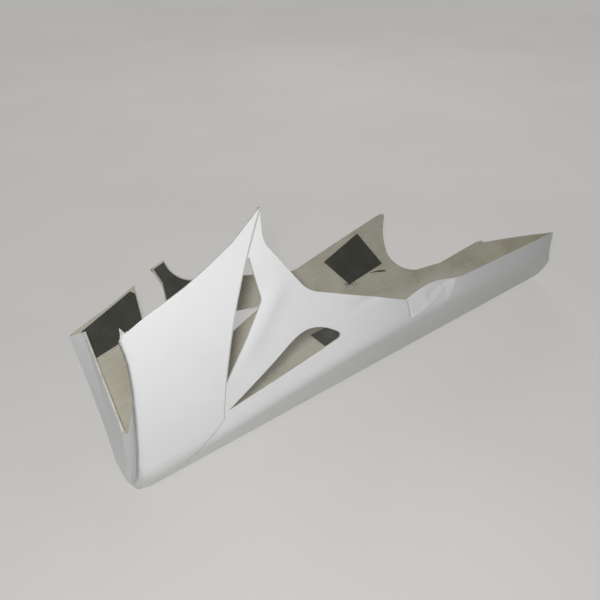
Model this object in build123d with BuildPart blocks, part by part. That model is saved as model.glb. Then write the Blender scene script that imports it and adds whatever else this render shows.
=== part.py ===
"""Belly pan of a sports motorcycle: a one-piece moulded shell with woven patches bonded inside.

The pan is drawn upright about its centre plane, with the front corners of its rim near X = 0, +X to the
rear, the left side on -Y and the keel on Z = 0. At the end it is laid on its right lower facet.
Outline points are side views: distance behind the front, height above the keel.
"""

import os
from math import atan2, cos, radians, sin, sqrt, tan

from build123d import *

os.makedirs("parts", exist_ok=True)

# Moulding
length = 700.0
wall = 2.5

# Hull section: two flat lower facets that meet at a round keel, and side walls that lean outwards
deadrise = 31.2
facet_trim = 0.1
keel_radius = 30.0
chine_radius = 30.0
form_headroom = 18.0
form_reach = 240.0

# Hull stations: distance behind the front, half width at the chine, half width at the top of the form
nose_station, nose_chine, nose_top = -50.0, 28.0, 143.0
front_station, front_chine, front_top = 0.0, 37.0, 146.0
vent_station, vent_chine, vent_top = 160.0, 76.0, 162.0
waist_station, waist_chine, waist_top = 300.0, 104.0, 164.0
hip_station, hip_chine, hip_top = 450.0, 102.0, 150.0
quarter_station, quarter_chine, quarter_top = 560.0, 88.0, 138.0
tail_overrun, tail_chine, tail_top = 30.0, 50.0, 148.0

# Raked ends, with flats across their edges that touch a round of the edge radius
front_foot = -17.0
front_rake = 10.0
front_edge_radius = 11.0
tail_foot = 6.0
tail_rake = 10.0
tail_edge_radius = 6.0

# V-shaped mouth inside the front return flange
dam_height = 57.0
mouth_slope = 0.66
mouth_bottom_radius = 9.0

# Left rim
left_front_height = 176.0
left_peak = (166.0, 252.0)
left_peak_foot = (164.0, 218.0)
left_peak_radius = 28.0
left_shoulder = (208.0, 150.0)
left_shoulder_radius = 45.0
left_waist = (343.0, 89.0)
left_waist_radius = 30.0
left_tail_height = 72.0

# Scoop in the left rim behind the waist: a flat that leans inwards above a crease, with a square front end
scoop_front = (346.0, -106.0, 68.5)
scoop_rear = (435.0, -109.7, 84.0)
scoop_lean = 11.0

# Front panel, which stands proud of the walls behind it and fades out on the lower facets
panel_step = 3.5
panel_fade = 0.5
panel_tuck = 20.0
panel_tip_land = 1.0
panel_edge_middle = (122.0, 162.0)
panel_corner = (89.0, 48.0)
panel_corner_radius = 8.0
panel_keel_slope = 0.75

# Left vents: a slender one along the panel's edge and a teardrop behind the strut
vent_land = 2.5
front_vent_top = (147.0, 208.0)
front_vent_corner = (153.0, 161.0)
front_vent_corner_radius = 7.0
front_vent_bottom = (101.0, 87.0)
rear_vent_tip = (97.0, 55.0)
rear_vent_rise = (150.0, 84.0)
rear_vent_crown = (199.0, 108.0)
rear_vent_end = (246.0, 84.0)
rear_vent_fall = (0.7, -0.7)
rear_vent_end_radius = 4.0

# Right rim: tab, notch, ear, dip, hooked peak and the round cut-out for the exhaust
right_front_height = 178.0
tab_start = 18.0
tab_peak = (112.0, 206.0)
tab_foot = (98.0, 150.0)
notch_end = 112.0
notch_middle = (140.0, 172.0)
ear_front_foot = (147.0, 197.0)
ear_front_tip = (144.0, 219.0)
ear_rear_tip = (166.0, 224.0)
ear_rear_foot = (167.0, 212.0)
ear_hollow = (174.0, 198.0)
ear_end = (191.0, 187.0)
right_dip = (346.0, 143.0)
right_dip_radius = 60.0
hook_shoulder = (526.0, 176.0)
hook_tip = (545.0, 177.0)
hook_tip_radius = 4.0
hook_hollow = (522.0, 146.0)
hook_throat = (513.0, 113.0)
exhaust_corner = (524.0, 89.0)
exhaust_floor = (558.0, 71.5)
exhaust_flat = (600.0, 67.0)
right_tail_height = 76.0
transom_half = 66.0

# Right vent: a wedge that points to the rear
wedge_vent_rear = (275.0, 115.5)
wedge_vent_top = (170.0, 135.0)
wedge_vent_bottom = (170.0, 91.0)
wedge_vent_radius = 12.0

# Woven patches on the inside of the right wall
patch_thickness = 0.8
bond_line = 0.3
patch_border = 2.0
tab_patch_corner = 7.0
tab_patch_low = 139.0
ear_patch_low = 163.0
side_patch_outline = [(402.0, 139.0), (478.0, 161.0), (496.0, 103.0), (426.0, 93.0)]
bilge_patch_start, bilge_patch_end = 318.0, 375.0
bilge_patch_low, bilge_patch_high = 28.0, 52.0

# Values that follow from the sizes above
slope = tan(radians(deadrise))
keel_drop = keel_radius * (1 / cos(radians(deadrise)) - 1)
form_height = left_peak[1] + form_headroom
sky = form_height + form_reach
tail_end = length + form_reach
stations = [
    (nose_station, nose_chine, nose_top),
    (front_station, front_chine, front_top),
    (vent_station, vent_chine, vent_top),
    (waist_station, waist_chine, waist_top),
    (hip_station, hip_chine, hip_top),
    (quarter_station, quarter_chine, quarter_top),
    (length + tail_overrun, tail_chine, tail_top),
]
corner_flat = 2 - sqrt(2)
front_lean = atan2(front_top - front_chine, form_height - front_chine * slope + keel_drop)
panel_lift = (panel_step - panel_fade) / (cos(radians(deadrise)) - sin(front_lean))
panel_growth = panel_fade + panel_lift * cos(radians(deadrise))
panel_tip = (left_peak[0] - panel_tip_land, left_peak[1])
front_plane = Plane((front_foot, 0, 0), x_dir=(0, 1, 0), z_dir=Vector(1, 0, 0).rotate(Axis.Y, front_rake))
tail_plane = Plane((length + tail_foot, 0, 0), x_dir=(0, 1, 0), z_dir=Vector(-1, 0, 0).rotate(Axis.Y, -tail_rake))
scoop_crease = Vector(scoop_rear) - Vector(scoop_front)
scoop_rise = Vector(0, 0, 1).rotate(Axis.X, -scoop_lean)
scoop_plane = Plane(scoop_front, x_dir=scoop_crease, z_dir=scoop_crease.cross(scoop_rise))
mouth_depth = front_foot + form_height * tan(radians(front_rake)) + 2 * front_edge_radius - nose_station
facet_plane = Plane((0, 0, -keel_drop), x_dir=(1, 0, 0), z_dir=Vector(0, 0, 1).rotate(Axis.X, deadrise))


def hull_loft(growth):
    """Solid lofted through the hull sections, each grown outwards by growth."""
    with BuildPart() as hull:
        for station, chine, top in stations:
            chine_height = chine * slope - keel_drop
            with BuildSketch(Plane.YZ.offset(station)):
                with BuildLine():
                    FilletPolyline(
                        (top, form_height),
                        (chine, chine_height),
                        (0, -keel_drop),
                        (-chine, chine_height),
                        (-top, form_height),
                        radius=[chine_radius, keel_radius, chine_radius],
                    )
                    Line((-top, form_height), (top, form_height))
                make_face()
                if growth:
                    offset(amount=growth, kind=Kind.INTERSECTION)
        loft()
    return hull.part


def panel_outline(inset):
    """Side view of the front panel, bounded by its rear edge and its slanting foot, taken in by inset."""
    below = -panel_corner[1]
    with BuildSketch() as outline:
        with BuildLine():
            rear_edge = ThreePointArc(panel_tip, panel_edge_middle, panel_corner)
            Polyline(
                rear_edge @ 1,
                (panel_corner[0] - (panel_corner[1] - below) / panel_keel_slope, below),
                (-form_reach, below),
                (-form_reach, sky),
                (panel_tip[0], sky),
                rear_edge @ 0,
            )
        make_face()
        fillet(outline.vertices().sort_by_distance(panel_corner)[0], panel_corner_radius)
        if inset:
            offset(amount=-inset, kind=Kind.INTERSECTION)
    return outline.sketch


def end_edges(part, end_plane):
    """Edges round an end face of a form, apart from its top edge."""
    end_face = part.faces().sort_by(Axis(end_plane.origin, end_plane.z_dir))[0]
    return end_face.edges().sort_by(Axis.Z)[:-1]


def moulded_form(inset):
    """Solid of the moulding with its skin taken in by inset: hull with scoop, and the proud front panel."""
    with BuildPart() as body:
        add(hull_loft(-inset))
        split(bisect_by=front_plane.offset(panel_tuck), keep=Keep.TOP)
        split(bisect_by=tail_plane.offset(inset), keep=Keep.TOP)
        chamfer(end_edges(body.part, tail_plane), (tail_edge_radius - inset) * corner_flat)
        with BuildSketch(scoop_plane.offset(-inset)):
            with Locations((form_reach / 2 - inset, 0)):
                Rectangle(form_reach, form_reach)
        extrude(amount=form_reach, mode=Mode.SUBTRACT)
    with BuildPart() as panel:
        add(Pos(0, 0, panel_lift) * hull_loft(panel_growth - inset))
        split(bisect_by=front_plane.offset(inset), keep=Keep.TOP)
        chamfer(end_edges(panel.part, front_plane), (front_edge_radius - inset) * corner_flat)
        with BuildSketch(Plane.XZ):
            add(panel_outline(inset))
        extrude(amount=form_reach, both=True, mode=Mode.INTERSECT)
    with BuildPart() as form:
        add(body.part)
        add(panel.part)
    return form.part


with BuildPart() as pan_shell:
    add(moulded_form(0))
    add(moulded_form(wall), mode=Mode.SUBTRACT)

    # Mouth through the front wall, which leaves the return flange and the dam
    with BuildSketch(Plane.YZ.offset(nose_station)) as mouth:
        with BuildLine():
            mouth_half = (form_height - dam_height) * mouth_slope
            Polyline((0, dam_height), (mouth_half, form_height), (-mouth_half, form_height), close=True)
        make_face()
        fillet(mouth.vertices().sort_by(Axis.Y)[0], mouth_bottom_radius)
    extrude(amount=mouth_depth, mode=Mode.SUBTRACT)

    # Left rim
    with BuildSketch(Plane.XZ):
        with BuildLine():
            left_rim = FilletPolyline(
                left_peak,
                left_peak_foot,
                left_shoulder,
                left_waist,
                (length, left_tail_height),
                radius=[left_peak_radius, left_shoulder_radius, left_waist_radius],
            )
            Polyline(
                left_rim @ 1,
                (tail_end, left_tail_height),
                (tail_end, sky),
                (-form_reach, sky),
                (-form_reach, left_front_height),
                (front_station, left_front_height),
                left_rim @ 0,
            )
        make_face()
    extrude(amount=form_reach, mode=Mode.SUBTRACT)

    # Right rim
    with BuildSketch(Plane.XZ) as right_rim:
        with BuildLine():
            notch_start = (notch_end, tab_foot[1])
            Polyline((tab_start, right_front_height), tab_peak, tab_foot, notch_start)
            ThreePointArc(notch_start, notch_middle, ear_front_foot)
            Polyline(ear_front_foot, ear_front_tip, ear_rear_tip, ear_rear_foot)
            ThreePointArc(ear_rear_foot, ear_hollow, ear_end)
            FilletPolyline(ear_end, right_dip, hook_shoulder, radius=right_dip_radius)
            Line(hook_shoulder, hook_tip)
            ThreePointArc(hook_tip, hook_hollow, hook_throat)
            ThreePointArc(hook_throat, exhaust_corner, exhaust_floor)
            Polyline(
                exhaust_floor,
                exhaust_flat,
                (length, right_tail_height),
                (tail_end, right_tail_height),
                (tail_end, sky),
                (-form_reach, sky),
                (-form_reach, right_front_height),
                (tab_start, right_front_height),
            )
        make_face()
        fillet(right_rim.vertices().sort_by_distance(hook_tip)[0], hook_tip_radius)
    extrude(amount=-form_reach, mode=Mode.SUBTRACT)

    # Top of the transom, a little lower than the right tail corner
    with BuildSketch(Plane.XY.offset(left_tail_height)):
        with Locations((length, 0)):
            Rectangle(4 * tail_edge_radius, 2 * transom_half)
    extrude(amount=form_height, mode=Mode.SUBTRACT)

    # Vents
    with BuildSketch(Plane.XZ) as front_vent:
        with BuildLine():
            Polyline(front_vent_bottom, front_vent_corner, front_vent_top, (0, front_vent_top[1]), close=True)
        make_face()
        fillet(front_vent.vertices().sort_by_distance(front_vent_corner)[0], front_vent_corner_radius)
        add(panel_outline(-vent_land), mode=Mode.SUBTRACT)
    extrude(amount=form_reach, mode=Mode.SUBTRACT)
    with BuildSketch(Plane.XZ) as rear_vent:
        with BuildLine():
            rise = Line(rear_vent_tip, rear_vent_rise)
            Spline(rear_vent_rise, rear_vent_crown, rear_vent_end, tangents=(rise % 1, rear_vent_fall))
            Line(rear_vent_end, rear_vent_tip)
        make_face()
        fillet(rear_vent.vertices().sort_by_distance(rear_vent_end)[0], rear_vent_end_radius)
    extrude(amount=form_reach, mode=Mode.SUBTRACT)
    with BuildSketch(Plane.XZ) as right_vent:
        with BuildLine():
            Polyline(wedge_vent_rear, wedge_vent_top, wedge_vent_bottom, close=True)
        make_face()
        fillet(right_vent.vertices().sort_by(Axis.X)[:2], wedge_vent_radius)
    extrude(amount=-form_reach, mode=Mode.SUBTRACT)

    # Right lower facet trimmed to one plane, which the pan lies on
    split(bisect_by=facet_plane.offset(facet_trim), keep=Keep.TOP)

# Skin of cloth that lies on the whole inside on a thin bond line, from which the patches are cut
with BuildPart() as cloth:
    add(moulded_form(wall + bond_line))
    add(moulded_form(wall + bond_line + patch_thickness), mode=Mode.SUBTRACT)

with BuildPart() as front_tab_patch:
    add(cloth.part)
    with BuildSketch(Plane.XZ) as tab_outline:
        with BuildLine():
            Polyline((tab_start, right_front_height), tab_peak, tab_foot, (tab_start, tab_patch_low), close=True)
        make_face()
        offset(amount=-patch_border, kind=Kind.INTERSECTION)
        chamfer(tab_outline.vertices().sort_by_distance(tab_peak)[0], tab_patch_corner)
    extrude(amount=-form_reach, mode=Mode.INTERSECT)

with BuildPart() as ear_patch:
    add(cloth.part)
    with BuildSketch(Plane.XZ):
        with BuildLine():
            Polyline(ear_front_foot, ear_front_tip, ear_rear_tip, ear_rear_foot)
            ThreePointArc(ear_rear_foot, ear_hollow, ear_end)
            Polyline(
                ear_end,
                (ear_end[0], ear_patch_low),
                (notch_middle[0], ear_patch_low),
                notch_middle,
                ear_front_foot,
            )
        make_face()
        offset(amount=-patch_border, kind=Kind.INTERSECTION)
    extrude(amount=-form_reach, mode=Mode.INTERSECT)

with BuildPart() as side_patch:
    add(cloth.part)
    with BuildSketch(Plane.XZ):
        with BuildLine():
            Polyline(*side_patch_outline, close=True)
        make_face()
    extrude(amount=-form_reach, mode=Mode.INTERSECT)

with BuildPart() as bilge_patch:
    add(cloth.part)
    with BuildSketch(Plane.XZ):
        with BuildLine():
            Polyline(
                (bilge_patch_start, bilge_patch_low),
                (bilge_patch_end, bilge_patch_low),
                (bilge_patch_end, bilge_patch_high),
                (bilge_patch_start, bilge_patch_high),
                close=True,
            )
        make_face()
    extrude(amount=-form_reach, mode=Mode.INTERSECT)

# Lay the pan on its right lower facet, with the middle of its box over the origin
lean = Rot(-deadrise, 0, 0)
box = (lean * pan_shell.part).bounding_box()
settle = Pos(-box.center().X, -box.center().Y, -box.min.Z) * lean

pan_shell.part = settle * pan_shell.part
pan_shell.part.label = "pan_shell"
export_step(pan_shell.part, "parts/pan_shell.step")

front_tab_patch.part = settle * front_tab_patch.part
front_tab_patch.part.label = "front_tab_patch"
export_step(front_tab_patch.part, "parts/front_tab_patch.step")

ear_patch.part = settle * ear_patch.part
ear_patch.part.label = "ear_patch"
export_step(ear_patch.part, "parts/ear_patch.step")

side_patch.part = settle * side_patch.part
side_patch.part.label = "side_patch"
export_step(side_patch.part, "parts/side_patch.step")

bilge_patch.part = settle * bilge_patch.part
bilge_patch.part.label = "bilge_patch"
export_step(bilge_patch.part, "parts/bilge_patch.step")
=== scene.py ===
"""Dress a motorcycle belly pan: moulded shell, woven patches, loose fibres, floor, light and camera.

The pan lies on its right lower facet. Places on it are given upright, as it hangs on the machine: distance
behind the front end of the keel, distance to the right of the centre plane and height above the keel.
Lengths are in metres.
"""

from math import cos, pi, radians, sin, tan
from random import Random

import bmesh
import bpy
import numpy as np
from bpy.props import FloatProperty, FloatVectorProperty, IntProperty, PointerProperty
from mathutils import Matrix, Vector
from mathutils.bvhtree import BVHTree


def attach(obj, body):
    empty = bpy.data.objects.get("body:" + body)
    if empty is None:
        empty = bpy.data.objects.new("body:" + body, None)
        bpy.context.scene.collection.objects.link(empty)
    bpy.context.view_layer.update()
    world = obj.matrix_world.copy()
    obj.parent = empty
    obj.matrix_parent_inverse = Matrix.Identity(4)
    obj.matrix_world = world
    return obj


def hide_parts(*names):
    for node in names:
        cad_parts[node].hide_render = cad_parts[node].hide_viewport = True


bl_info = {
    "name": "Belly Pan Dresser",
    "version": (1, 0, 0),
    "blender": (4, 5, 0),
    "location": "View3D > Sidebar > Belly Pan",
    "description": "Finishes, loose fibres and a stage for a moulded motorcycle belly pan",
    "category": "Object",
}

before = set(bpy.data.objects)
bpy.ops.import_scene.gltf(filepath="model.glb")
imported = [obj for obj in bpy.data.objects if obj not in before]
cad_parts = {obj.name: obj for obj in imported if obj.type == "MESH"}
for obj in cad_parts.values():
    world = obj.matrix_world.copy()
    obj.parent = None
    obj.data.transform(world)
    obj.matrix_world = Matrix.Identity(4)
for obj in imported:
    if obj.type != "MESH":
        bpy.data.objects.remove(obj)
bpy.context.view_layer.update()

# The upright pan's frame in the frame it lies in
LEAN = radians(31.2)
KEEL_FRONT = Vector((-0.34485, -0.0910, 0.00424))
UPRIGHT = Matrix.Translation(KEEL_FRONT) @ Matrix.Rotation(-LEAN, 4, "X")
LYING = UPRIGHT.inverted()

# Finishes of the shell, in the order of its material slots
OUTSIDE, INSIDE, CUT_EDGE = range(3)

# Sides of the pan
LEFT, RIGHT = -1, 1

# Middle line of the hollow, which tells the outside of the shell from the inside
HOLLOW_HEIGHT = 0.11
HOLLOW_FRONT = 0.08
HOLLOW_REAR = 0.62

# Mesh work on the shell; the thickest skin is counted in walls
WELD = 2e-6
SKIN_NUDGE = 2e-5
THICKEST_SKIN = 2.2
SHARP_TURN = radians(30)
GRADIENT_STEP = 2e-4
LEAST_SPAN = 2e-4
DIVIDE_PASSES = 7
EDGE_SAMPLES = 9
SHORTEST_DIVIDED = 0.003
CORNER_INSET = 0.12

# Flats across the end edges: where they lie along the pan, and how far they face its ends
FRONT_FLATS = 0.05
TAIL_FLATS = 0.67
FLAT_TURN = 0.4
END_TURN = 0.93

# Way out of the left wall
WALL_OUT = (0.0, -0.935, -0.355)

# Soft forms of the left wall, as side views: distance along the pan, height
STRUT_FOLD = ((0.190, 0.183), (0.149, 0.139), (0.112, 0.092))
RIM_HOLLOW = ((0.297, 0.112), (0.262, 0.110))
SCOOP_GROOVE = ((0.3435, 0.100), (0.3465, 0.068))
SCOOP_CREASE = ((0.346, 0.0685), (0.435, 0.084))
SCOOP_FOOT = (
    (0.346, 0.0685), (0.362, 0.0652), (0.381, 0.0622), (0.400, 0.0617), (0.414, 0.0640), (0.424, 0.0715),
    (0.435, 0.084),
)
SCOOP_RIM = ((0.343, 0.089), (0.700, 0.072))
SCOOP_BULGE = (0.379, 0.0735)

# Share of the strut's fold that fades at each end, and share of the rim hollow's depth that is lost along it
FOLD_FADE = 0.35
HOLLOW_LOSS = 0.7

# Top edge of the left front panel: its straight line, how far it hangs, the band that moves and the way down
LEFT_RIM = ((0.0, 0.176), (0.166, 0.252))
RIM_DROP = (
    (0.010, 0.0125), (0.0165, 0.0082), (0.060, 0.0074), (0.100, 0.0091), (0.130, 0.0083), (0.166, 0.0),
)
RIM_BAND = 0.045
RIM_FALL = (0.0, 0.41, -1.0)

# Front of the pan: its raked front, its half widths at heights, and how far back it moves and is divided
FLANGE_FOOT = -0.017
FLANGE_RAKE = tan(radians(10.0))
FRONT_EDGE = ((FLANGE_FOOT, 0.0), (0.0274, 0.252))
FRONT_HALF = ((-0.004, 0.004), (0.0175, 0.041), (0.252, 0.1425))
FRONT_FADE = 0.06
FRONT_LIMIT = 0.09

# Sweep of the front flanges: fold at the centre plane, what the left adds and where, share before it fades
FOLD_ROUND = 0.004
LEFT_SWEEP = 1.8
LEFT_SWEEP_GROWS = (-0.01, 0.03)
SWEEP_HOLD = 0.5

# Reach of the walls' front edges: its height, power of its rise on each side, and where it fades on a flange
FRONT_TOP = 0.176
REACH_LIMIT = 1.1
LEFT_RISE = 5
RIGHT_RISE = 2
FLANGE_OUTER = 0.004
FLANGE_INNER = 0.030
WALL_TAPER = 0.2

# Rear edge of the left front panel, an arc through three points, and the slope of its lower edge
PANEL_EDGE = ((0.165, 0.252), (0.122, 0.162), (0.089, 0.048))
PANEL_LOWER_SLOPE = 0.75

# Painted shade in the step along those edges: its width, the share on the panel, where it fades and how dark
# it is
STEP_SHADE_WIDTH = 0.0032
STEP_SHADE_ON_PANEL = 0.3
STEP_SHADE_CORNER = 0.001
STEP_SHADE_HEIGHT = (0.006, 0.020)
STEP_SHADE_ACROSS = (-0.01, 0.0)
STEP_SHADE_STRENGTH = 0.9
STEP_SHADE_TONE = 0.55

# Round lower corner of the nose: how far back and how far up it runs
NOSE_REACH = 0.028
NOSE_HEIGHT = 0.030

# Lip of the scoop: how far it stands above the straight rim, and how deep the lifted band is
SCOOP_LIP = (
    (0.340, 0.0), (0.348, -0.002), (0.372, 0.004), (0.390, 0.007),
    (0.410, 0.006), (0.430, 0.002), (0.445, 0.0),
)
SCOOP_LIP_BAND = 0.022

# Corners of the tail, which are round in the plan view
TAIL_END = ((0.700, 0.0), (0.700, 0.070))
TAIL_START = 0.60
TUCK_HEIGHT = 0.038
TUCK_REACH = 0.030
TUCK_MIDDLE = 0.02
TUCK_CORNER = 0.075

# Each soft form's line, how far from it the mesh is divided, and the longest edge there
SOFT_FORMS = (
    (STRUT_FOLD, 0.032, 0.004),
    (RIM_HOLLOW, 0.016, 0.004),
    (SCOOP_GROOVE, 0.007, 0.003),
    (SCOOP_CREASE, 0.024, 0.003),
    (LEFT_RIM, RIM_BAND, 0.007),
    (FRONT_EDGE, 0.03, 0.008),
    (TAIL_END, 0.085, 0.008),
)

# How far left of the centre plane the left wall's forms start, and where they are whole
LEFT_START = 0.03
LEFT_WHOLE = 0.06

# Strands in the laminate, layer by layer, and lines in a fibre: turn, and waves for each metre on each axis
LAMINATE_STRANDS = (
    ((0.2, 0.3, 0.0), (60.0, 60.0, 700.0)),
    ((0.1, 1.2, 0.2), (60.0, 60.0, 650.0)),
    ((0.0, 2.2, 0.1), (50.0, 50.0, 600.0)),
)
FIBRE_LINES = ((0.3, 0.2, 0.0), (120.0, 900.0, 900.0))

# Woven cloth: how far threads wander, how much they arch over each other, and the height of a rib
THREAD_DRIFT = 0.0012
THREAD_ARCH = 0.4
RIB_HEIGHT = 0.8

# Torn fibres at the left front corner: the rim, the stretch with a fringe, its root and where it is seated
FRINGE_RIM = ((0.0035, 0.1730), (0.036, 0.1850))
FRINGE_START = 0.012
FRINGE_END = 0.033
FRINGE_ROOT = 0.005
FRINGE_SEAT = 0.024

# Strands of the fringe: random lean, height and width, height lost along the rim, and width left at the tip
STRAND_LEAN = (-0.15, 0.25)
STRAND_HEIGHT = (0.7, 1.0)
STRAND_WIDTH = (0.7, 1.2)
STRAND_LOSS = 0.75
STRAND_TIP = 0.5

# Torn tip: its place along the rim, its lean, and its line as rise above the rim and half width
SPIKE_PLACE = 0.0095
SPIKE_LEAN = -0.2
SPIKE_LINE = ((-0.004, 0.0048), (-0.001, 0.0052), (0.004, 0.0032), (0.007, 0.0018), (0.012, 0.0003))

# Streak of tow on the right wall: distance along the pan, height, half width
TOW_STREAK = (
    (0.470, 0.0962, 0.0003), (0.479, 0.0950, 0.0008), (0.489, 0.0928, 0.0017), (0.497, 0.0898, 0.0009),
)

# Frayed threads by a corner of the side patch: random root, rise, heading, length, half width and bend
FRAYED_CORNER = (0.426, 0.0935)
FRAYED_ROOT = (-0.004, 0.016)
FRAYED_RISE = (0.2, 1.2)
FRAYED_HEADING = (pi * 0.95, pi * 1.6)
FRAYED_LENGTH = (0.4, 1.0)
FRAYED_HALF = (0.12, 0.22)
FRAYED_BEND = (-0.4, 0.4)
FRAYED_STEPS = (0.5, 1.0)
FRAYED_TAPER = 1.2

# Width of a ribbon's crest, as a share of its foot
RIBBON_CREST = 0.6

# Lamps: the key beside the lens, in the camera's own axes, the back light, and the spot that both point at
KEY_BESIDE_LENS = (-0.025, 0.03, 0.0)
BACK_LIGHT = (0.9, 1.0, 1.1)
LIT_SPOT = (-0.05, 0.0, 0.1)

# Half width of the floor, and the colour of the light from all round
FLOOR_HALF = 6.0
WHITE = (1.0, 1.0, 1.0, 1.0)


def upright(x, y, z):
    """Place on the upright pan, in the frame the pan lies in."""
    return UPRIGHT @ Vector((x, y, z))


class Value:
    """A socket of a node tree; arithmetic on it adds Math nodes."""

    def __init__(self, nodes, socket):
        self.nodes = nodes
        self.socket = socket

    def maths(self, operation, *operands):
        return self.nodes.node("ShaderNodeMath", {"operation": operation}, dict(enumerate(operands)))

    def __add__(self, other):
        return self.maths("ADD", self, other)

    def __sub__(self, other):
        return self.maths("SUBTRACT", self, other)

    def __mul__(self, other):
        return self.maths("MULTIPLY", self, other)

    def __truediv__(self, other):
        return self.maths("DIVIDE", self, other)

    def __rsub__(self, other):
        return self.maths("SUBTRACT", other, self)

    __radd__ = __add__
    __rmul__ = __mul__

    def floor(self):
        return self.maths("FLOOR", self)

    def fraction(self):
        return self.maths("FRACT", self)

    def sine(self):
        return self.maths("SINE", self)

    def power(self, exponent):
        return self.maths("POWER", self, exponent)

    def ramp(self, low, high):
        """0 below low, 1 above high, smooth between."""
        sockets = {"Value": self, "From Min": low, "From Max": high}
        return self.nodes.node("ShaderNodeMapRange", {"interpolation_type": "SMOOTHSTEP"}, sockets)


class Nodes:
    """A node tree that starts empty, with one method that adds any node."""

    def __init__(self, tree):
        self.tree = tree
        tree.nodes.clear()

    def node(self, kind, settings=None, sockets=None, output=0):
        """Add a node, set its settings, then fill or link its sockets; returns one output, if it has any."""
        made = self.tree.nodes.new(kind)
        for name, setting in (settings or {}).items():
            setattr(made, name, setting)
        for name, given in (sockets or {}).items():
            if isinstance(given, Value):
                self.tree.links.new(given.socket, made.inputs[name])
            else:
                made.inputs[name].default_value = given
        return Value(self, made.outputs[output]) if made.outputs else None

    def blend(self, factor, first, second):
        """Mix of two colours; the Mix node names these sockets alike, so they go by number."""
        return self.node("ShaderNodeMix", {"data_type": "RGBA"}, {0: factor, 6: first, 7: second}, output=2)

    def mix_surfaces(self, factor, first, second):
        """Mix of two surfaces."""
        return self.node("ShaderNodeMixShader", None, {0: factor, 1: first, 2: second})

    def lying_place(self):
        """Coordinates in the frame the pan lies in."""
        return self.node("ShaderNodeTexCoord", output="Object")

    def cloud(self, place, scale, detail=2.0, roughness=0.5):
        """Noise between 0 and 1, with scale in waves for each metre."""
        sockets = {"Vector": place, "Scale": scale, "Detail": detail, "Roughness": roughness}
        return self.node("ShaderNodeTexNoise", None, sockets)

    def upright_place(self):
        """Coordinates on the upright pan."""
        place = self.lying_place()
        settings = {"vector_type": "TEXTURE"}
        sockets = {"Vector": place, "Location": KEEL_FRONT, "Rotation": (-LEAN, 0.0, 0.0)}
        return self.node("ShaderNodeMapping", settings, sockets)

    def parts(self, place):
        """The three coordinates of a place, each as a value."""
        split = self.node("ShaderNodeSeparateXYZ", None, {"Vector": place})
        return [Value(self, socket) for socket in split.socket.node.outputs]

    def stretched(self, place, turn, stretch):
        """Coordinates turned and squeezed, so that noise draws into strands."""
        return self.node("ShaderNodeMapping", None, {"Vector": place, "Rotation": turn, "Scale": stretch})

    def seen(self):
        """1 for what the camera sees, straight, mirrored or through glass; 0 for other light."""
        rays = ("Is Camera Ray", "Is Glossy Ray", "Is Transmission Ray")
        camera, glossy, through = (self.node("ShaderNodeLightPath", output=ray) for ray in rays)
        return camera + glossy + through

    def relief(self, height, depth, strength=1.0):
        """Bump of a height map that is depth high."""
        return self.node("ShaderNodeBump", None, {"Height": height, "Distance": depth, "Strength": strength})


def new_finish(name):
    """Empty material and its nodes."""
    material = bpy.data.materials.new(name)
    material.use_nodes = True
    return material, Nodes(material.node_tree)


def close_finish(nodes, sockets):
    """Principled surface with these sockets."""
    surface = nodes.node("ShaderNodeBsdfPrincipled", None, sockets)
    nodes.node("ShaderNodeOutputMaterial", None, {"Surface": surface})


def opaque(colour, shade=1.0):
    """Colour property as four numbers, darkened or lightened by shade."""
    return (*(channel * shade for channel in colour), 1.0)


def arc_through(first, middle, last):
    """Centre and radius of the circle through three side-view points."""
    points = np.array((first, middle, last))
    rows = np.column_stack((2 * points, np.ones(3)))
    x, z, rest = np.linalg.solve(rows, (points**2).sum(axis=1))
    return x, z, np.sqrt(rest + x**2 + z**2)


def panel_edge_painted_shade(nodes, place):
    """Mask of the painted shade that lies in the step behind the left front panel."""
    x, z, radius = arc_through(*PANEL_EDGE)
    along, across, height = nodes.parts(place)
    off_x = along - float(x)
    off_z = height - float(z)
    beyond = float(radius) - (off_x * off_x + off_z * off_z).power(0.5)
    corner_x, corner_z = PANEL_EDGE[2]
    slope = np.hypot(1.0, PANEL_LOWER_SLOPE)
    past = (along - corner_x) * float(PANEL_LOWER_SLOPE / slope) - (height - corner_z) * float(1 / slope)
    rear, lower = (
        edge.ramp(-STEP_SHADE_WIDTH * STEP_SHADE_ON_PANEL, 0.0) * (1 - edge.ramp(0.0, STEP_SHADE_WIDTH))
        for edge in (beyond, past)
    )
    above = height.ramp(corner_z - STEP_SHADE_CORNER, corner_z + STEP_SHADE_CORNER)
    lines = rear * above + lower * (1 - above) * height.ramp(*STEP_SHADE_HEIGHT)
    return lines * (1 - across.ramp(*STEP_SHADE_ACROSS)) * STEP_SHADE_STRENGTH


def gelcoat_finish(settings):
    """Smooth white gelcoat with faint clouding and a print-through of the glass beneath."""
    material, nodes = new_finish("white_gelcoat")
    place = nodes.upright_place()
    clouds = nodes.cloud(place, scale=9.0, detail=3.0)
    haze = nodes.cloud(place, scale=55.0, detail=4.0, roughness=0.6)
    dull = opaque(settings.gelcoat, shade=0.955)
    tint = nodes.blend(clouds.ramp(0.35, 0.75), opaque(settings.gelcoat), dull)
    # Painted shade darkens the gelcoat along the step behind the left front panel
    tint = nodes.blend(panel_edge_painted_shade(nodes, place), tint, opaque(settings.gelcoat, shade=STEP_SHADE_TONE))
    peel = nodes.cloud(place, scale=380.0, detail=1.0)
    swell = nodes.cloud(place, scale=28.0, detail=1.0)
    close_finish(nodes, {
        "Base Color": tint,
        "Roughness": 0.33 + haze * 0.12,
        "Specular IOR Level": 0.45,
        "Coat Weight": 0.15,
        "Coat Roughness": 0.25,
        "Normal": nodes.relief(swell + peel * 0.05, depth=0.0007, strength=0.35),
    })
    return material


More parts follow.
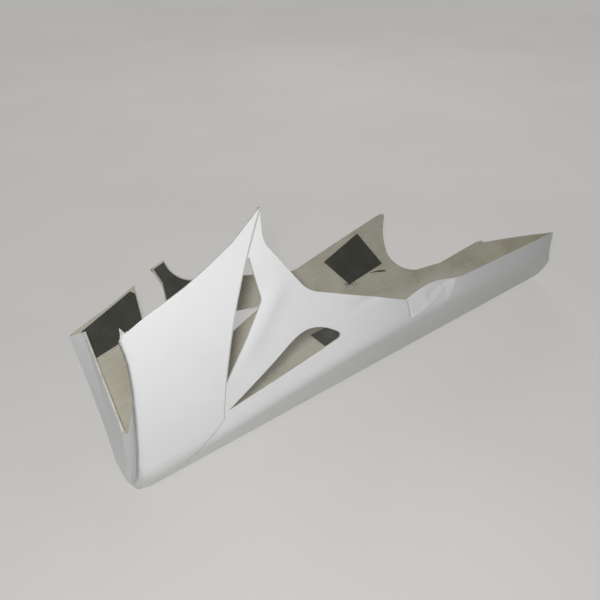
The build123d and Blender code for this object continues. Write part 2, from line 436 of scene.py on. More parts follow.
def laminate_finish(settings):
    """Raw glass laminate: cream resin with strands that lie every way and darker wet patches."""
    material, nodes = new_finish("raw_laminate")
    place = nodes.upright_place()
    clouds = nodes.cloud(place, scale=14.0, detail=4.0, roughness=0.6)
    strands = None
    for turn, stretch in LAMINATE_STRANDS:
        lines = nodes.cloud(nodes.stretched(place, turn, stretch), scale=1.0, detail=2.0).ramp(0.52, 0.72)
        strands = lines if strands is None else strands + lines
    wet = clouds.ramp(0.38, 0.72)
    resin = nodes.blend(wet, opaque(settings.laminate), opaque(settings.laminate_wet))
    tint = nodes.blend(strands * 0.28, resin, opaque(settings.laminate, shade=1.22))
    close_finish(nodes, {
        "Base Color": tint,
        "Roughness": 0.58 - wet * 0.16,
        "Specular IOR Level": 0.4,
        "Normal": nodes.relief(strands + clouds * 2.0, depth=0.00035, strength=0.5),
    })
    return material


def cut_edge_finish(settings):
    """Trimmed edge of the laminate: pale, a little brown where resin soaked in, and rough from the saw."""
    material, nodes = new_finish("trimmed_edge")
    place = nodes.upright_place()
    soak = nodes.cloud(place, scale=60.0, detail=4.0, roughness=0.65)
    saw = nodes.cloud(place, scale=900.0, detail=2.0)
    tint = nodes.blend(soak.ramp(0.4, 0.7), opaque(settings.cut_edge), opaque(settings.cut_edge_brown))
    close_finish(nodes, {
        "Base Color": tint,
        "Roughness": 0.6 + saw * 0.2,
        "Normal": nodes.relief(saw, depth=0.0002, strength=0.5),
    })
    return material


def cloth_finish(name, settings, pitch, rib):
    """Dark woven cloth wetted out with resin. rib is the share of the upright threads, from 0 to 1."""
    material, nodes = new_finish(name)
    place = nodes.upright_place()
    along, _, height = nodes.parts(place)
    drift = nodes.cloud(place, scale=40.0, detail=2.0)
    warp = (along + drift * THREAD_DRIFT) / pitch
    weft = (height + drift * THREAD_DRIFT) / pitch
    over = ((warp.floor() + weft.floor()) * 0.5).fraction() * 2
    warp_round = (warp.fraction() * pi).sine()
    weft_round = (weft.fraction() * pi).sine()
    flat = 1 - THREAD_ARCH
    warp_height = warp_round * (flat + weft_round * THREAD_ARCH)
    weft_height = weft_round * (flat + warp_round * THREAD_ARCH) * (1 - rib)
    threads = over * warp_height + (1 - over) * (weft_height + warp_round * rib * RIB_HEIGHT)
    clouds = nodes.cloud(place, scale=30.0, detail=4.0, roughness=0.6)
    # Patches of resin glaze: smoother, and painted paler as a painted sheen that stands in for glare
    glaze_and_sheen = clouds.ramp(0.45, 0.66)
    # Painted shade in the gaps between threads and a painted highlight on their crests, set by the threads'
    # height
    painted_gap_shade = opaque(settings.cloth, shade=0.25)
    base = nodes.blend(threads.ramp(0.15, 0.9), painted_gap_shade, opaque(settings.cloth, shade=1.2))
    tint = nodes.blend(glaze_and_sheen * 0.6, base, opaque(settings.cloth_glaze_and_sheen))
    close_finish(nodes, {
        "Base Color": tint,
        "Roughness": 0.46 - glaze_and_sheen * 0.14,
        "Specular IOR Level": 0.5,
        "Normal": nodes.relief(threads, depth=0.0005, strength=0.7),
    })
    return material


def fibre_finish(name, colour):
    """Bundle of fibres set in resin, with fine lines of light along it."""
    material, nodes = new_finish(name)
    place = nodes.upright_place()
    lines = nodes.cloud(nodes.stretched(place, *FIBRE_LINES), scale=1.0, detail=2.0)
    tint = nodes.blend(lines.ramp(0.35, 0.7), opaque(colour, shade=0.8), opaque(colour, shade=1.2))
    close_finish(nodes, {
        "Base Color": tint,
        "Roughness": 0.42 + lines * 0.2,
        "Normal": nodes.relief(lines, depth=0.0002, strength=0.5),
    })
    return material


def core_point(place):
    """Point on the middle line of the hollow that is as far along the pan as a place on the shell."""
    along = (LYING @ place).x
    return upright(min(max(along, HOLLOW_FRONT), HOLLOW_REAR), 0.0, HOLLOW_HEIGHT)


def sort_skins(form, wall):
    """Give each face of the shell its finish: outside, inside, or cut edge where one meets the other."""
    tree = BVHTree.FromBMesh(form)
    unsure = set()
    for face in form.faces:
        middle = face.calc_center_median()
        hit = tree.ray_cast(middle - face.normal * SKIN_NUDGE, -face.normal, wall * THICKEST_SKIN)
        if hit[0] is None:
            unsure.add(face)
        else:
            outward = (middle - core_point(middle)).dot(face.normal) > 0
            face.material_index = OUTSIDE if outward else INSIDE
    pending = set(unsure)
    while pending:
        region = {pending.pop()}
        front = list(region)
        touched = set()
        while front:
            face = front.pop()
            for edge in face.edges:
                for other in edge.link_faces:
                    if other not in unsure:
                        touched.add(other.material_index)
                    elif other in pending and face.normal.angle(other.normal, pi) < SHARP_TURN:
                        pending.discard(other)
                        region.add(other)
                        front.append(other)
        finish = touched.pop() if len(touched) == 1 else CUT_EDGE
        for face in region:
            face.material_index = finish


def round_ends(form):
    """Let the light run round the flats at the pan's two ends, as it does on a round edge."""
    moulded = form.loops.layers.float_vector["moulded_normal"]
    flats = set()
    for face in form.faces:
        along = (LYING @ face.calc_center_median()).x
        at_end = along < FRONT_FLATS or along > TAIL_FLATS
        if at_end and face.material_index != CUT_EDGE and FLAT_TURN < abs(face.normal.x) < END_TURN:
            flats.add(face)
    for face in flats:
        for corner in face.loops:
            beside = [
                other[moulded] for other in corner.vert.link_loops
                if other.face not in flats and other.face.material_index == face.material_index
            ]
            if beside:
                corner[moulded] = sum(beside, Vector((0.0, 0.0, 0.0))).normalized()


def long_edges(form):
    """Edges that pass near a soft form and are too long to follow it."""
    edges = [edge for edge in form.edges if edge.calc_length() > SHORTEST_DIVIDED]
    ends = np.array([[LYING @ vertex.co for vertex in edge.verts] for edge in edges])
    lengths = np.linalg.norm(ends[:, 0] - ends[:, 1], axis=1)
    shares = np.linspace(0, 1, EDGE_SAMPLES)[None, :, None]
    side = ends[:, :1, [0, 2]] * (1 - shares) + ends[:, 1:, [0, 2]] * shares
    picked = np.zeros(len(edges), bool)
    for line, reach, longest in SOFT_FORMS:
        distance = line_offsets(side.reshape(-1, 2), line)[0]
        picked |= (distance.reshape(len(edges), -1).min(axis=1) < reach) & (lengths > longest)
    rearmost = ends[:, :, 0].max(axis=1)
    at_end = (rearmost > TAIL_START) | (rearmost < FRONT_LIMIT)
    picked &= at_end | (ends[:, :, 1].max(axis=1) < -LEFT_START)
    return [edge for edge, chosen in zip(edges, picked) if chosen]


def divide_near_forms(form):
    """Split the long edges near the soft forms, so that the mesh can follow them."""
    for _ in range(DIVIDE_PASSES):
        bmesh.ops.subdivide_edges(form, edges=long_edges(form), cuts=1)
        bmesh.ops.triangulate(form, faces=[face for face in form.faces if len(face.verts) > 3])


def line_offsets(side, line):
    """Distance of side-view points from an open line, and the share of the line before the nearest point."""
    best = np.full(len(side), np.inf)
    share = np.zeros(len(side))
    spans = len(line) - 1
    for index in range(spans):
        start = np.array(line[index])
        run = np.array(line[index + 1]) - start
        length = np.hypot(*run)
        along = np.clip(((side - start) @ run) / length**2, 0, 1)
        away = side - (start + along[:, None] * run)
        distance = np.hypot(away[:, 0], away[:, 1])
        near = distance < best
        best[near] = distance[near]
        share[near] = (index + along[near]) / spans
    return best, share


def smooth(values, low, high):
    """0 below low, 1 above high, smooth between."""
    share = np.clip((values - low) / (high - low), 0, 1)
    return share * share * (3 - 2 * share)


def hump(distance, width):
    """1 on a line, falling off smoothly to each side."""
    return np.exp(-((distance / width) ** 2))


def line_at(places, line):
    """Second coordinate of a line of points, where its first coordinate has these values."""
    return np.interp(places, *zip(*line))


def behind_front(points):
    """How far upright points lie behind the raked front of the pan."""
    return points[:, 0] - FLANGE_FOOT - points[:, 2] * FLANGE_RAKE


def scoop_depth(points, settings):
    """How far the scoop is hollowed below its crease, down to its round foot."""
    along, height = points[:, 0], points[:, 2]
    crease = line_at(along, SCOOP_CREASE)
    foot = line_at(along, SCOOP_FOOT)
    rim = line_at(along, SCOOP_RIM)
    width = np.maximum(crease - foot, 0)
    below = np.clip((height - foot) / np.maximum(width, LEAST_SPAN), 0, 1)
    above = np.clip((rim - height) / np.maximum(rim - crease, LEAST_SPAN), 0, 1)
    return settings.scoop_slope * width * np.where(height < crease, below, above)


def pressed_height(points, settings):
    """How far the left wall stands out, at upright points, where forms are pressed into it."""
    side = points[:, [0, 2]]
    distance, share = line_offsets(side, STRUT_FOLD)
    fade = smooth(share, 0.0, FOLD_FADE) * smooth(1 - share, 0.0, FOLD_FADE)
    total = settings.fold_height * fade * hump(distance, settings.fold_width)
    distance, share = line_offsets(side, RIM_HOLLOW)
    total -= settings.hollow_depth * (1 - HOLLOW_LOSS * share) * hump(distance, settings.hollow_width)
    distance, _ = line_offsets(side, SCOOP_GROOVE)
    total -= settings.groove_depth * hump(distance, settings.groove_width)
    distance = np.linalg.norm(side - np.array(SCOOP_BULGE), axis=1)
    total += settings.bulge_height * hump(distance, settings.bulge_width)
    return total - scoop_depth(points, settings)


def rim_drop(points):
    """How far the top edge of the left front panel hangs below the straight line."""
    along, height = points[:, 0], points[:, 2]
    rim = line_at(along, LEFT_RIM)
    return line_at(along, RIM_DROP) * smooth(height, rim - RIM_BAND, rim)


def tail_tuck(points, settings):
    """How far the corners of the tail lie in front of its flat end."""
    along, across, height = points.T
    corner = smooth(np.abs(across), TUCK_MIDDLE, TUCK_CORNER) * smooth(along, TAIL_START, TAIL_END[0][0])
    return settings.tail_tuck * corner * hump(height - TUCK_HEIGHT, TUCK_REACH)


def flange_sweep(points, settings):
    """How far the front flanges lie behind a flat front, more and more towards the centre plane."""
    along, across, height = points.T
    inward = line_at(height, FRONT_HALF) - np.hypot(across, FOLD_ROUND)
    slope = settings.flange_sweep * (1 + LEFT_SWEEP * smooth(-across, *LEFT_SWEEP_GROWS))
    return slope * np.maximum(inward, 0) * (1 - smooth(along, SWEEP_HOLD * FRONT_FADE, FRONT_FADE))


def front_reach(points, settings):
    """How far the walls run ahead of a flat front, more and more towards their tops."""
    _, across, height = points.T
    inward = line_at(height, FRONT_HALF) - np.abs(across)
    outer = 1 - np.clip((inward - FLANGE_OUTER) / (FLANGE_INNER - FLANGE_OUTER), 0, 1)
    rise = np.clip(height / FRONT_TOP, 0, REACH_LIMIT) ** np.where(across < 0, LEFT_RISE, RIGHT_RISE)
    return settings.front_reach * rise * outer * (1 - smooth(behind_front(points), 0, FRONT_FADE))


def nose_lift(points, settings):
    """How far the keel rises to the round lower corner of the nose."""
    _, across, height = points.T
    above = height - np.abs(across) * tan(LEAN)
    share = np.clip(1 - behind_front(points) / NOSE_REACH, 0, 1)
    return settings.nose_lift * share**2 * (1 - smooth(above, 0, NOSE_HEIGHT))


def scoop_lip(points):
    """How far the lip of the scoop stands above the straight left rim."""
    along, height = points[:, 0], points[:, 2]
    rim = line_at(along, SCOOP_RIM)
    return line_at(along, SCOOP_LIP) * smooth(height, rim - SCOOP_LIP_BAND, rim)


def soft_move(points, settings):
    """Move of upright points of the shell by its soft forms."""
    left = smooth(-points[:, 1], LEFT_START, LEFT_WHOLE)
    move = np.outer(left * pressed_height(points, settings), WALL_OUT)
    move += np.outer(left * rim_drop(points), RIM_FALL)
    ahead = front_reach(points, settings)
    move[:, 0] += flange_sweep(points, settings) - ahead - tail_tuck(points, settings)
    move[:, 1] -= np.sign(points[:, 1]) * WALL_TAPER * ahead
    move[:, 2] += nose_lift(points, settings) + left * scoop_lip(points)
    return move


def form_stretch(points, settings):
    """How the soft forms stretch and turn the shell about upright points: a matrix for each."""
    stretch = np.tile(np.eye(3), (len(points), 1, 1))
    for axis in range(3):
        step = np.zeros(3)
        step[axis] = GRADIENT_STEP
        rise = soft_move(points + step, settings) - soft_move(points - step, settings)
        stretch[:, :, axis] += rise / (2 * GRADIENT_STEP)
    return stretch


def press_forms(mesh, settings):
    """Move the mesh by its soft forms and turn the moulded normals of its corners with them."""
    lying = np.empty(len(mesh.vertices) * 3)
    mesh.vertices.foreach_get("co", lying)
    turn = np.array(UPRIGHT.to_3x3())
    points = (lying.reshape(-1, 3) - np.array(KEEL_FRONT)) @ turn
    moved = (points + soft_move(points, settings)) @ turn.T + np.array(KEEL_FRONT)
    corners = np.empty(len(mesh.loops), np.int32)
    mesh.loops.foreach_get("vertex_index", corners)
    corner_points = points[corners]
    middles = corner_points.reshape(-1, 3, 3).mean(axis=1).repeat(3, axis=0)
    stretch = form_stretch(corner_points + (middles - corner_points) * CORNER_INSET, settings)
    mesh.vertices.foreach_set("co", moved.ravel())
    normals = np.empty(len(mesh.loops) * 3, np.float32)
    moulded = mesh.attributes["moulded_normal"]
    moulded.data.foreach_get("vector", normals)
    normals = normals.reshape(-1, 3) @ turn
    normals = np.einsum("nji,nj->ni", np.linalg.inv(stretch), normals) @ turn.T
    normals /= np.linalg.norm(normals, axis=1)[:, None]
    mesh.attributes.remove(moulded)
    mesh.update()
    mesh.normals_split_custom_set(normals.tolist())


def add_piece(name, mesh):
    """Object of a mesh that rides with the pan."""
    piece = bpy.data.objects.new(name, mesh)
    bpy.context.scene.collection.objects.link(piece)
    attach(piece, "root")
    return piece


def skin_tree():
    """Search tree of the CAD shell, for seating small pieces on its inside."""
    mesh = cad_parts["pan_shell"].data
    corners = [vertex.co for vertex in mesh.vertices]
    return BVHTree.FromPolygons(corners, [face.vertices for face in mesh.polygons])


def inside_wall(tree, x, z, side):
    """Point on the inside of the wall on one side, and the direction away from that wall."""
    start = upright(x, 0.0, z)
    across = UPRIGHT.to_3x3() @ Vector((0.0, side, 0.0))
    place, normal, _, _ = tree.ray_cast(start, across)
    if place is None:
        raise RuntimeError(f"no wall at {x:.3f}, {z:.3f}")
    return place, normal if normal.dot(across) < 0 else -normal


def close_tubes(name, tubes):
    """Mesh of closed tubes, each a list of rings of corner places."""
    form = bmesh.new()
    for tube in tubes:
        rings = [[form.verts.new(corner) for corner in ring] for ring in tube]
        for ring, after in zip(rings, rings[1:]):
            for first, second in zip(range(-1, len(ring) - 1), range(len(ring))):
                form.faces.new((ring[first], ring[second], after[second], after[first]))
        form.faces.new(rings[0])
        form.faces.new(rings[-1])
    bmesh.ops.recalc_face_normals(form, faces=form.faces)
    mesh = bpy.data.meshes.new(name)
    form.to_mesh(mesh)
    form.free()
    return mesh


def ribbon(stations, thickness):
    """Rings of a flat ribbon through stations of place, direction away from the wall, and half width."""
    rings = []
    for index, (place, away, half) in enumerate(stations):
        ahead = stations[min(index + 1, len(stations) - 1)][0]
        behind = stations[max(index - 1, 0)][0]
        across = (ahead - behind).cross(away).normalized() * half
        back = place - away * thickness * 0.5
        crest = place + away * thickness * 0.5
        shoulder = across * RIBBON_CREST
        rings.append((back - across, back + across, crest + shoulder, crest - shoulder))
    return rings


def wall_ribbon(tree, line, thickness):
    """Ribbon on the inside of the right wall, by distance along the pan, height and half width."""
    stations = []
    for x, z, half in line:
        place, away = inside_wall(tree, x, z, RIGHT)
        stations.append((place + away * thickness, away, half))
    return ribbon(stations, thickness)


def rim_seat(tree, x):
    """Place inside the left rim near its front corner, the way up the wall and the way off the wall."""
    seat = max(x, FRINGE_SEAT)
    rim = line_at(x, FRINGE_RIM)
    low, away = inside_wall(tree, seat, rim - 2 * FRINGE_ROOT, LEFT)
    high, _ = inside_wall(tree, seat, rim - FRINGE_ROOT, LEFT)
    rise = (high - low).normalized()
    ahead = UPRIGHT.to_3x3() @ Vector((seat - x, 0.0, 0.0))
    return high + rise * FRINGE_ROOT - ahead + away * (seat - x) * WALL_TAPER, rise, away


def fringe_ribbons(tree, settings):
    """Ragged strands of the inner layer that stand above the left rim near its front corner."""
    draw = Random(settings.seed)
    along = UPRIGHT.to_3x3() @ Vector((1.0, 0.0, 0.0))
    ribbons = []
    for index in range(settings.fringe_strands):
        share = (index + 0.5) / settings.fringe_strands
        x = FRINGE_START + share * (FRINGE_END - FRINGE_START)
        high, rise, away = rim_seat(tree, x)
        rise = (rise + along * draw.uniform(*STRAND_LEAN)).normalized()
        reach = settings.fringe_height * draw.uniform(*STRAND_HEIGHT) * (1 - STRAND_LOSS * share)
        half = settings.fringe_width * draw.uniform(*STRAND_WIDTH)
        stations = [
            (high - rise * FRINGE_ROOT, away, half),
            (high, away, half),
            (high + rise * reach, away, half * STRAND_TIP),
        ]
        ribbons.append(ribbon(stations, settings.thread_thickness))
    return ribbons


def spike_ribbon(tree, settings):
    """Torn tip of the inner layer that stands at the front end of the left rim."""
    high, rise, away = rim_seat(tree, SPIKE_PLACE)
    lean = UPRIGHT.to_3x3() @ Vector((SPIKE_LEAN, 0.0, 0.0))
    stations = [(high + (rise + lean) * step, away, half) for step, half in SPIKE_LINE]
    return ribbon(stations, settings.spike_thickness)


def frayed_ribbons(tree, settings):
    """Threads that splay from the lower front corner of the side patch."""
    draw = Random(settings.seed)
    ribbons = []
    for _ in range(settings.frayed_threads):
        x = FRAYED_CORNER[0] + draw.uniform(*FRAYED_ROOT)
        z = FRAYED_CORNER[1] + abs(x - FRAYED_CORNER[0]) * draw.uniform(*FRAYED_RISE)
        heading = draw.uniform(*FRAYED_HEADING)
        reach = settings.frayed_reach * draw.uniform(*FRAYED_LENGTH)
        half = settings.thread_pitch * draw.uniform(*FRAYED_HALF)
        bend = draw.uniform(*FRAYED_BEND)
        line = [(x, z, half)]
        for step in FRAYED_STEPS:
            turn = heading + bend * step
            tip = (x + reach * step * cos(turn), z + reach * step * sin(turn))
            line.append((*tip, half * (FRAYED_TAPER - step)))
        ribbons.append(wall_ribbon(tree, line, settings.thread_thickness))
    return ribbons


def lay_floor(scene, settings):
    """Wide pale floor, which shows some of its own paleness so that it meets the sky."""
    form = bmesh.new()
    bmesh.ops.create_grid(form, x_segments=1, y_segments=1, size=FLOOR_HALF)
    mesh = bpy.data.meshes.new("floor")
    form.to_mesh(mesh)
    form.free()
    material, nodes = new_finish("pale_floor")
    grain = nodes.cloud(nodes.lying_place(), scale=3.0, detail=5.0)
    tint = nodes.blend(grain.ramp(0.3, 0.7), opaque(settings.floor), opaque(settings.floor, shade=0.97))
    sockets = {"Base Color": tint, "Roughness": 0.8 + grain * 0.1, "Specular IOR Level": 0.2}
    lit = nodes.node("ShaderNodeBsdfPrincipled", None, sockets)
    pale = nodes.node("ShaderNodeEmission", None, {"Color": tint, "Strength": 1.0})
    surface = nodes.mix_surfaces(nodes.seen() * settings.glow, lit, pale)
    nodes.node("ShaderNodeOutputMaterial", None, {"Surface": surface})
    mesh.materials.append(material)
    floor = bpy.data.objects.new("floor", mesh)
    scene.collection.objects.link(floor)


def set_sky(scene, settings):
    """Sky that is seen in the floor's colour and lights the pan faintly from all round."""
    world = bpy.data.worlds.new("soft_sky")
    world.use_nodes = True
    nodes = Nodes(world.node_tree)
    fill = nodes.node("ShaderNodeBackground", None, {"Color": WHITE, "Strength": settings.fill})
    pale = nodes.node("ShaderNodeBackground", None, {"Color": opaque(settings.floor), "Strength": 1.0})
    sky = nodes.mix_surfaces(nodes.seen(), fill, pale)
    nodes.node("ShaderNodeOutputWorld", None, {"Surface": sky})
    scene.world = world


def place_camera(scene, settings):
    """Camera that looks down on the left of the pan from ahead."""
    lens = bpy.data.cameras.new("camera")
    lens.lens = settings.lens
    camera = bpy.data.objects.new("camera", lens)
    camera.location = settings.camera_place
    camera.rotation_euler = (pi / 2 - settings.pitch, 0.0, -settings.heading)
    scene.collection.objects.link(camera)
    scene.camera = camera


def place_lamps(scene, settings):
    """Small key lamp beside the lens and wide lamp behind the pan."""
    camera = scene.camera
    beside = camera.location + camera.rotation_euler.to_matrix() @ Vector(KEY_BESIDE_LENS)
    for name, place, power, size in (
        ("key", beside, settings.key_power, settings.key_size),
        ("back_light", Vector(BACK_LIGHT), settings.back_power, settings.back_size),
    ):
        lamp = bpy.data.lights.new(name, "AREA")
        lamp.energy = power
        lamp.shape = "DISK"
        lamp.size = size
        light = bpy.data.objects.new(name, lamp)
        light.location = place
        light.rotation_euler = (Vector(LIT_SPOT) - place).to_track_quat("-Z", "Y").to_euler()
        scene.collection.objects.link(light)


class ShellSettings(bpy.types.PropertyGroup):
    """Sizes and colours of the moulded shell."""

    wall: FloatProperty(
        name="Wall", description="Thickness of the laminate",
        default=0.0025, min=0.0005, unit="LENGTH",
    )
    scoop_slope: FloatProperty(
        name="Scoop slope", description="How steeply the scoop is hollowed from its foot",
        default=0.25, min=0.0,
    )
    bulge_height: FloatProperty(
        name="Bulge height", description="Height of the soft bulge in the scoop",
        default=0.0013, unit="LENGTH",
    )
    bulge_width: FloatProperty(
        name="Bulge width", description="Half width of the soft bulge in the scoop",
        default=0.006, unit="LENGTH",
    )
    flange_sweep: FloatProperty(
        name="Flange sweep", description="Slope of the front flanges back to the mouth",
        default=0.10, min=0.0,
    )
    front_reach: FloatProperty(
        name="Front reach", description="How far the walls' top corners run ahead",
        default=0.0112, unit="LENGTH",
    )
    nose_lift: FloatProperty(
        name="Nose lift", description="How far the keel rises to the front",
        default=0.006, unit="LENGTH",
    )
    tail_tuck: FloatProperty(
        name="Tail tuck", description="How far the tail's corners are rounded off",
        default=0.020, unit="LENGTH",
    )
    fold_height: FloatProperty(
        name="Fold height", description="How far the strut's soft fold stands out",
        default=0.003, unit="LENGTH",
    )
    fold_width: FloatProperty(
        name="Fold width", description="Half width of the strut's soft fold",
        default=0.013, unit="LENGTH",
    )
    hollow_depth: FloatProperty(
        name="Hollow depth", description="Depth of the soft hollow in the left rim",
        default=0.0022, unit="LENGTH",
    )
    hollow_width: FloatProperty(
        name="Hollow width", description="Half width of the soft hollow in the left rim",
        default=0.006, unit="LENGTH",
    )
    groove_depth: FloatProperty(
        name="Groove depth", description="Depth of the groove in front of the scoop",
        default=0.0016, unit="LENGTH",
    )
    groove_width: FloatProperty(
        name="Groove width", description="Half width of the groove in front of the scoop",
        default=0.002, unit="LENGTH",
    )
    gelcoat: FloatVectorProperty(
        name="Gelcoat", description="White of the outside",
        default=(0.80, 0.81, 0.81), subtype="COLOR", max=1.0,
    )
    laminate: FloatVectorProperty(
        name="Laminate", description="Cream of the raw inside",
        default=(0.59, 0.57, 0.48), subtype="COLOR", max=1.0,
    )
    laminate_wet: FloatVectorProperty(
        name="Wet laminate", description="Resin-rich spots inside",
        default=(0.47, 0.45, 0.36), subtype="COLOR", max=1.0,
    )
    cut_edge: FloatVectorProperty(
        name="Cut edge", description="Trimmed edges",
        default=(0.72, 0.71, 0.66), subtype="COLOR", max=1.0,
    )
    cut_edge_brown: FloatVectorProperty(
        name="Soaked edge", description="Resin-soaked edge",
        default=(0.58, 0.52, 0.45), subtype="COLOR", max=1.0,
    )


class ClothSettings(bpy.types.PropertyGroup):
    """Sizes and colours of the woven patches."""

    thread_pitch: FloatProperty(
        name="Thread pitch", description="Distance between threads",
        default=0.0025, min=0.0005, unit="LENGTH",
    )
    rib_pitch: FloatProperty(
        name="Rib pitch", description="Distance between ribs of the tab's cloth",
        default=0.0036, unit="LENGTH",
    )
    cloth: FloatVectorProperty(
        name="Cloth", description="Dark threads",
        default=(0.029, 0.031, 0.017), subtype="COLOR", max=1.0,
    )
    # Paler resin glaze on the cloth, which also stands in for glare on it: partly painted sheen
    cloth_glaze_and_sheen: FloatVectorProperty(
        name="Glaze", description="Resin that floods the weave",
        default=(0.052, 0.056, 0.043), subtype="COLOR", max=1.0,
    )


class FibreSettings(bpy.types.PropertyGroup):
    """Sizes and colours of the torn and loose fibres."""

    seed: IntProperty(name="Seed", description="Start of the random draws", default=7)
    thread_pitch: FloatProperty(
        name="Thread pitch", description="Pitch of the weave the loose threads come from",
        default=0.0025, min=0.0005, unit="LENGTH",
    )
    thread_thickness: FloatProperty(
        name="Thread thickness", description="Height of a flat thread",
        default=0.0005, min=0.0001, unit="LENGTH",
    )
    fringe_strands: IntProperty(
        name="Fringe strands", description="Strands above the left rim",
        default=26, min=1,
    )
    fringe_height: FloatProperty(
        name="Fringe height", description="Tallest strand above the rim",
        default=0.006, min=0.0, unit="LENGTH",
    )
    fringe_width: FloatProperty(
        name="Fringe width", description="Half width of a strand",
        default=0.0011, min=0.0001, unit="LENGTH",
    )
    frayed_threads: IntProperty(
        name="Frayed threads", description="Threads at the side patch's corner",
        default=22, min=1,
    )
    frayed_reach: FloatProperty(
        name="Frayed reach", description="Longest frayed thread",
        default=0.010, min=0.0, unit="LENGTH",
    )
    spike_thickness: FloatProperty(
        name="Spike thickness", description="Thickness of the torn tip",
        default=0.0012, min=0.0001, unit="LENGTH",
    )
    pale_fibre: FloatVectorProperty(
        name="Pale fibre", description="Torn glass strands",
        default=(0.60, 0.60, 0.57), subtype="COLOR", max=1.0,
    )
    dark_fibre: FloatVectorProperty(
        name="Dark fibre", description="Loose cloth threads",
        default=(0.075, 0.075, 0.052), subtype="COLOR", max=1.0,
    )


class StageSettings(bpy.types.PropertyGroup):
    """Floor, light and camera."""

    floor: FloatVectorProperty(
        name="Floor", description="Pale floor",
        default=(0.66, 0.65, 0.63), subtype="COLOR", max=1.0,
    )
    glow: FloatProperty(
        name="Glow", description="Share of the floor's own paleness in what is seen",
        default=0.6, min=0.0, max=1.0,
    )
    key_power: FloatProperty(
        name="Key", description="Power of the lamp beside the camera",
        default=3.7, min=0.0, unit="POWER",
    )
    key_size: FloatProperty(
        name="Key size", description="Width of the lamp beside the camera",
        default=0.05, min=0.01, unit="LENGTH",
    )
    back_power: FloatProperty(
        name="Back light", description="Power of the wide lamp behind the pan",
        default=4.0, min=0.0, unit="POWER",
    )
    back_size: FloatProperty(
        name="Back light size", description="Width of the lamp behind the pan",
        default=0.8, min=0.01, unit="LENGTH",
    )
    fill: FloatProperty(
        name="Fill", description="Strength of the light from all round",
        default=0.16, min=0.0,
    )
    camera_place: FloatVectorProperty(
        name="Camera", description="Place of the camera",
        default=(-0.4987, -0.5707, 0.5897), subtype="TRANSLATION",
    )
    pitch: FloatProperty(
        name="Pitch", description="How far the camera looks down",
        default=radians(35.0), subtype="ANGLE",
    )
    heading: FloatProperty(
        name="Heading", description="Turn of the camera from +Y towards +X",
        default=radians(37.82), subtype="ANGLE",
    )
    lens: FloatProperty(name="Lens", description="Focal length in millimetres", default=39.0, min=1.0)


class BELLYPAN_OT_shell(bpy.types.Operator):
    """Copy the moulded shell finely, press its soft forms and give its skins their finishes"""

    bl_idname = "bellypan.shell"
    bl_label = "Dress the shell"

    def execute(self, context):
        settings = context.scene.belly_pan_shell
        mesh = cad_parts["pan_shell"].data.copy()
        mesh.name = "belly_pan_shell"
        normals = np.empty(len(mesh.loops) * 3, np.float32)
        mesh.corner_normals.foreach_get("vector", normals)
        mesh.attributes.new("moulded_normal", "FLOAT_VECTOR", "CORNER").data.foreach_set("vector", normals)
        mesh.materials.clear()
        for finish in (gelcoat_finish, laminate_finish, cut_edge_finish):
            mesh.materials.append(finish(settings))
        form = bmesh.new()
        form.from_mesh(mesh)
        bmesh.ops.remove_doubles(form, verts=form.verts, dist=WELD)
        form.normal_update()
        sort_skins(form, settings.wall)
        round_ends(form)
        divide_near_forms(form)
        for face in form.faces:
            face.smooth = True
        for edge in form.edges:
            edge.smooth = True
        form.to_mesh(mesh)
        form.free()
        press_forms(mesh, settings)
        piece = add_piece("belly_pan_shell", mesh)
        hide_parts("pan_shell")
        return {"FINISHED"}


class BELLYPAN_OT_patches(bpy.types.Operator):
    """Give the four bonded patches their woven finishes"""

    bl_idname = "bellypan.patches"
    bl_label = "Dress the patches"

    def execute(self, context):
        settings = context.scene.belly_pan_cloth
        ribbed = cloth_finish("ribbed_cloth", settings, settings.rib_pitch, rib=1.0)
        plain = cloth_finish("plain_cloth", settings, settings.thread_pitch, rib=0.2)
        for node, finish in (
            ("front_tab_patch", ribbed),
            ("ear_patch", plain),
            ("side_patch", plain),
            ("bilge_patch", plain),
        ):
            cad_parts[node].material_slots[0].material = finish
        return {"FINISHED"}


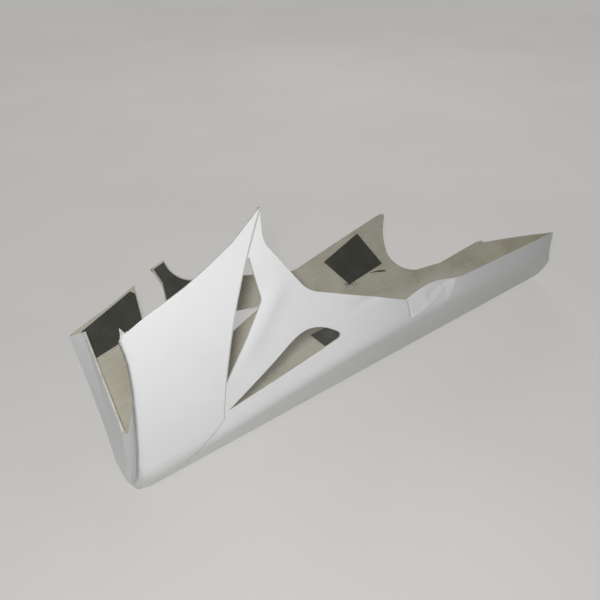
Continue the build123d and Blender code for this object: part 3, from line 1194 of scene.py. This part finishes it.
class BELLYPAN_OT_fibres(bpy.types.Operator):
    """Add the torn tip and fringe at the left front corner and the loose threads by the side patch"""

    bl_idname = "bellypan.fibres"
    bl_label = "Lay the fibres"

    def execute(self, context):
        settings = context.scene.belly_pan_fibres
        tree = skin_tree()
        pale = fibre_finish("torn_glass", settings.pale_fibre)
        dark = fibre_finish("loose_cloth", settings.dark_fibre)
        streak = wall_ribbon(tree, TOW_STREAK, settings.thread_thickness)
        glass, cloth = "gelcoat_laminate", "woven_reinforcement"
        for name, tubes, finish, slot in (
            ("corner_spike", [spike_ribbon(tree, settings)], pale, glass),
            ("rim_fringe", fringe_ribbons(tree, settings), pale, glass),
            ("tow_streak", [streak], dark, cloth),
            ("frayed_threads", frayed_ribbons(tree, settings), dark, cloth),
        ):
            mesh = close_tubes(name, tubes)
            mesh.materials.append(finish)
            add_piece(name, mesh)
        return {"FINISHED"}


class BELLYPAN_OT_stage(bpy.types.Operator):
    """Lay the floor, set the lamps and the sky, and place the camera"""

    bl_idname = "bellypan.stage"
    bl_label = "Set the stage"

    def execute(self, context):
        scene = context.scene
        settings = scene.belly_pan_stage
        scene.view_settings.view_transform = "Standard"
        lay_floor(scene, settings)
        set_sky(scene, settings)
        place_camera(scene, settings)
        place_lamps(scene, settings)
        return {"FINISHED"}


class BELLYPAN_PT_panel(bpy.types.Panel):
    """Sizes, colours and steps of the belly pan"""

    bl_idname = "BELLYPAN_PT_panel"
    bl_label = "Belly Pan"
    bl_space_type = "VIEW_3D"
    bl_region_type = "UI"
    bl_category = "Belly Pan"

    def draw(self, context):
        for group, kind in SETTINGS.items():
            box = self.layout.box()
            for name in kind.__annotations__:
                box.prop(getattr(context.scene, group), name)
        for operator in OPERATORS:
            self.layout.operator(operator.bl_idname)


SETTINGS = {
    "belly_pan_shell": ShellSettings,
    "belly_pan_cloth": ClothSettings,
    "belly_pan_fibres": FibreSettings,
    "belly_pan_stage": StageSettings,
}
OPERATORS = (BELLYPAN_OT_shell, BELLYPAN_OT_patches, BELLYPAN_OT_fibres, BELLYPAN_OT_stage)
CLASSES = (*SETTINGS.values(), *OPERATORS, BELLYPAN_PT_panel)


def register():
    """Register the classes and hang the settings on the scene."""
    for cls in CLASSES:
        bpy.utils.register_class(cls)
    for name, group in SETTINGS.items():
        setattr(bpy.types.Scene, name, PointerProperty(type=group))


def unregister():
    """Take away what register added."""
    for name in SETTINGS:
        delattr(bpy.types.Scene, name)
    for cls in reversed(CLASSES):
        bpy.utils.unregister_class(cls)


def main():
    """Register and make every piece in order."""
    register()
    bpy.ops.bellypan.shell()
    bpy.ops.bellypan.patches()
    bpy.ops.bellypan.fibres()
    bpy.ops.bellypan.stage()


if __name__ == "__main__":
    main()
